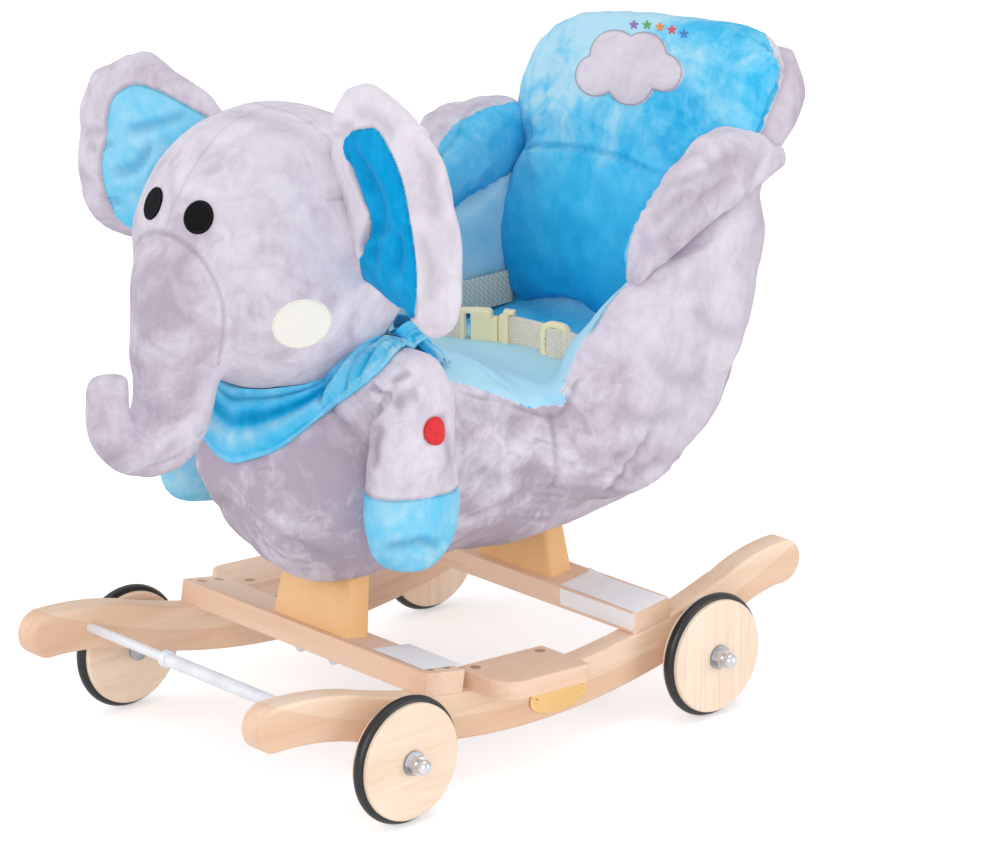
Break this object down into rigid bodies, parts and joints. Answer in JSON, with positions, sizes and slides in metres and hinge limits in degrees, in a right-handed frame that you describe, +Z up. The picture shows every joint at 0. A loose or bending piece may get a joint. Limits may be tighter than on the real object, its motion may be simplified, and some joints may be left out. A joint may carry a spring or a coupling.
{
  "type": "plush_animal_rocker",
  "caption": "Plush elephant rocker: stuffed seat with lap belt on two bent wooden rockers joined by boards, with small wheels, footrests and a sound button in one arm",
  "frame": {"origin": "on the floor, under the middle of the bounding box", "axes": "the head faces -Y, the elephant's left side is +X, up is +Z; Y is the longest extent, X the shortest"},
  "size_m": [0.3842, 0.578, 0.5011],
  "materials": {
    "beech": "satin, pale beech with straight grain",
    "post_wood": "satin, warm tan",
    "plywood": "raw plywood",
    "tyre_rubber": "semi gloss black rubber ring",
    "chrome": "polished",
    "zinc_steel": "zinc plated",
    "brass": "brushed brass",
    "white_paint": "gloss white paint",
    "white_plastic": "gloss white",
    "grey_plush": "short pile lilac-grey plush",
    "blue_plush": "short pile sky-blue plush",
    "black_patch": "black satin stitch patch",
    "cream_patch": "cream pile patch",
    "webbing": "woven cream webbing",
    "buckle_plastic": "satin pale yellow",
    "case_plastic": "hidden sound unit",
    "red_button": "printed red face"
  },
  "bodies": {
    "frame_and_seat": {"axle_plate_screws": "zinc_steel", "axle_plates": "zinc_steel", "axle_studs": "chrome", "back_board": "plywood", "back_cushion": "blue_plush", "back_shell": "grey_plush", "board_screws": "zinc_steel", "buckle_plug": "buckle_plastic", "buckle_socket": "buckle_plastic", "cheek_patches": "cream_patch", "chest": "grey_plush", "eye_patches": "black_patch", "far_strap": "webbing", "front_cross_board": "beech", "front_post": "post_wood", "head": "grey_plush", "headrest": "blue_plush", "left_ear": "grey_plush", "left_footrest": "beech", "left_rocker": "beech", "left_side_wall": "grey_plush", "left_wing": "grey_plush", "near_strap": "webbing", "oval_plate": "brass", "plate_pins": "brass", "post_bolts": "zinc_steel", "post_cap_nuts": "chrome", "rear_cross_board": "beech", "rear_post": "post_wood", "right_ear": "grey_plush", "right_footrest": "beech", "right_rocker": "beech", "right_side_wall": "grey_plush", "right_wing": "grey_plush", "scarf": "blue_plush", "scarf_tail": "blue_plush", "seat_base": "grey_plush", "seat_base_board": "plywood", "seat_cushion": "blue_plush", "strap_slide": "buckle_plastic", "stretcher_rod": "white_paint", "stretcher_sleeve": "white_plastic", "trunk": "grey_plush", "wheel_cap_nuts": "chrome", "wheel_spacers": "zinc_steel", "wheel_washers": "chrome"},
    "front_left_wheel_body": {"front_left_wheel": "beech", "front_left_tyre": "tyre_rubber"},
    "front_right_wheel_body": {"front_right_wheel": "beech", "front_right_tyre": "tyre_rubber"},
    "rear_left_wheel_body": {"rear_left_wheel": "beech", "rear_left_tyre": "tyre_rubber"},
    "rear_right_wheel_body": {"rear_right_wheel": "beech", "rear_right_tyre": "tyre_rubber"},
    "left_arm_body": {"left_arm": "grey_plush", "left_paw": "blue_plush", "sound_box": "case_plastic"},
    "right_arm_body": {"right_arm": "grey_plush", "right_paw": "blue_plush"},
    "button_body": {"sound_button": "red_button"}
  },
  "joints": [
    {"name": "front_left_wheel_turn", "type": "hinge", "parent": "frame_and_seat", "child": "front_left_wheel_body", "pos_m": [0.157, -0.148, 0.046], "axis": [1, 0, 0], "continuous": true},
    {"name": "front_right_wheel_turn", "type": "hinge", "parent": "frame_and_seat", "child": "front_right_wheel_body", "pos_m": [-0.148, -0.148, 0.046], "axis": [1, 0, 0], "continuous": true},
    {"name": "rear_left_wheel_turn", "type": "hinge", "parent": "frame_and_seat", "child": "rear_left_wheel_body", "pos_m": [0.157, 0.148, 0.046], "axis": [1, 0, 0], "continuous": true},
    {"name": "rear_right_wheel_turn", "type": "hinge", "parent": "frame_and_seat", "child": "rear_right_wheel_body", "pos_m": [-0.148, 0.148, 0.046], "axis": [1, 0, 0], "continuous": true},
    {"name": "left_arm_swing", "type": "hinge", "parent": "frame_and_seat", "child": "left_arm_body", "pos_m": [0.112, -0.1, 0.262], "axis": [1, 0, 0], "range_deg": [-60, 8]},
    {"name": "right_arm_swing", "type": "hinge", "parent": "frame_and_seat", "child": "right_arm_body", "pos_m": [-0.112, -0.1, 0.262], "axis": [1, 0, 0], "range_deg": [-60, 8]},
    {"name": "sound_button_press", "type": "slide", "parent": "left_arm_body", "child": "button_body", "axis": [-1, 0, 0], "range_m": [0, 0.003], "stiffness_N_per_m": 300}
  ]
}
